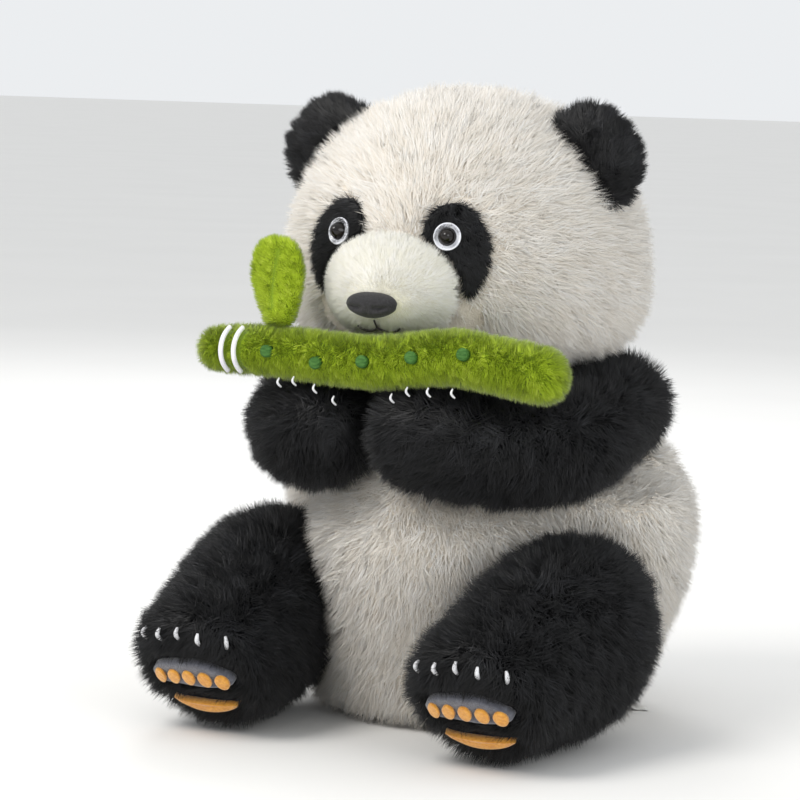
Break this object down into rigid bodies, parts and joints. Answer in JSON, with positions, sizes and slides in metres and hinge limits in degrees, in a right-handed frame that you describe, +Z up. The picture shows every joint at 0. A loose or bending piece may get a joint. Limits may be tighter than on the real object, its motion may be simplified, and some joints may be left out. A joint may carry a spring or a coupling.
{
  "type": "plush panda",
  "caption": "Sitting plush panda that hugs a plush bamboo stalk with a leaf; soft head, ears, arms and legs flex at sprung seams.",
  "frame": {"origin": "on the ground, at the middle of the toy's box", "axes": "+Z up, the panda faces -Y, its left side is +X"},
  "size_m": [0.2916, 0.3464, 0.381],
  "materials": {
    "black_plush": "black long-pile plush, rough and tousled",
    "black_thread": "black embroidery thread",
    "claw_thread": "silver-white satin embroidery",
    "cream_plush": "off-white long-pile plush, brushed",
    "eye_plastic": "polished black safety eye",
    "green_plush": "yellow-green short-pile plush",
    "grey_felt": "grey short-pile patch",
    "label_cloth": "white satin tape",
    "muzzle_plush": "ivory short-pile plush",
    "nose_flock": "dark grey flocked plastic",
    "orange_felt": "orange short-pile patch",
    "pellet_cloth": "plain woven bag filled with beans",
    "ring_plastic": "white ring behind the eye",
    "stuffing": "loose polyester fibre filling",
    "washer_plastic": "plain moulded locking washer",
    "white_thread": "white satin embroidery"
  },
  "bodies": {
    "torso": {"body_shell": "cream_plush", "body_stuffing": "stuffing", "care_label": "label_cloth", "pellet_bag": "pellet_cloth", "shoulder_band": "black_plush", "tail": "cream_plush"},
    "head": {"eye_left": "eye_plastic", "eye_patch_left": "black_plush", "eye_patch_right": "black_plush", "eye_right": "eye_plastic", "eye_ring_left": "ring_plastic", "eye_ring_right": "ring_plastic", "eye_washer_left": "washer_plastic", "eye_washer_right": "washer_plastic", "head_shell": "cream_plush", "head_stuffing": "stuffing", "mouth_stitch_centre": "black_thread", "mouth_stitch_left": "black_thread", "mouth_stitch_right": "black_thread", "muzzle_shell": "muzzle_plush", "muzzle_stuffing": "stuffing", "nose": "nose_flock", "nose_washer": "washer_plastic"},
    "ear_left": {"ear_left": "black_plush"},
    "ear_right": {"ear_right": "black_plush"},
    "arm_left": {"arm_left_shell": "black_plush", "arm_left_stuffing": "stuffing", "bamboo_shell": "green_plush", "bamboo_stripe_1": "white_thread", "bamboo_stripe_2": "white_thread", "bamboo_stuffing": "stuffing", "claw_paw_left_1": "claw_thread", "claw_paw_left_2": "claw_thread", "claw_paw_left_3": "claw_thread", "claw_paw_left_4": "claw_thread"},
    "leaf": {"bamboo_leaf": "green_plush"},
    "arm_right": {"arm_right_shell": "black_plush", "arm_right_stuffing": "stuffing", "claw_paw_right_1": "claw_thread", "claw_paw_right_2": "claw_thread", "claw_paw_right_3": "claw_thread", "claw_paw_right_4": "claw_thread"},
    "leg_left": {"claw_foot_left_1": "claw_thread", "claw_foot_left_2": "claw_thread", "claw_foot_left_3": "claw_thread", "claw_foot_left_4": "claw_thread", "claw_foot_left_5": "claw_thread", "leg_left_heel_pad": "orange_felt", "leg_left_shell": "black_plush", "leg_left_stuffing": "stuffing", "leg_left_toe_patch": "grey_felt"},
    "leg_right": {"claw_foot_right_1": "claw_thread", "claw_foot_right_2": "claw_thread", "claw_foot_right_3": "claw_thread", "claw_foot_right_4": "claw_thread", "claw_foot_right_5": "claw_thread", "leg_right_heel_pad": "orange_felt", "leg_right_shell": "black_plush", "leg_right_stuffing": "stuffing", "leg_right_toe_patch": "grey_felt"}
  },
  "joints": [
    {"name": "head_turn", "type": "hinge", "parent": "torso", "child": "head", "pos_m": [0, 0.00885, 0.21], "axis": [0, 0, 1], "range_deg": [-10, 10], "stiffness_Nm_per_rad": 3},
    {"name": "ear_left_bend", "type": "hinge", "parent": "head", "child": "ear_left", "pos_m": [0.08551, -0.00515, 0.34442], "axis": [0.6481, 0, -0.7615], "range_deg": [-12, 12], "stiffness_Nm_per_rad": 0.3},
    {"name": "ear_right_bend", "type": "hinge", "parent": "head", "child": "ear_right", "pos_m": [-0.08551, -0.00515, 0.34442], "axis": [0.6481, 0, 0.7615], "range_deg": [-12, 12], "stiffness_Nm_per_rad": 0.3},
    {"name": "shoulder_left", "type": "hinge", "parent": "torso", "child": "arm_left", "pos_m": [0, 0.04485, 0.203], "axis": [1, 0, 0], "range_deg": [0, 6], "stiffness_Nm_per_rad": 8},
    {"name": "shoulder_right", "type": "hinge", "parent": "torso", "child": "arm_right", "pos_m": [0, 0.04485, 0.203], "axis": [1, 0, 0], "range_deg": [0, 6], "stiffness_Nm_per_rad": 8},
    {"name": "leaf_bend", "type": "hinge", "parent": "arm_left", "child": "leaf", "pos_m": [-0.0605, -0.11615, 0.24812], "axis": [1, 0, 0], "range_deg": [-15, 15], "stiffness_Nm_per_rad": 0.2},
    {"name": "hip_left", "type": "hinge", "parent": "torso", "child": "leg_left", "pos_m": [0.1, -0.01515, 0.072], "axis": [-1, 0, 0], "range_deg": [-2, 10], "stiffness_Nm_per_rad": 10},
    {"name": "hip_right", "type": "hinge", "parent": "torso", "child": "leg_right", "pos_m": [-0.1, -0.01515, 0.072], "axis": [-1, 0, 0], "range_deg": [-2, 10], "stiffness_Nm_per_rad": 10}
  ],
  "couplings": [
    {"joint": "shoulder_right", "follows": "shoulder_left", "ratio": 1}
  ]
}
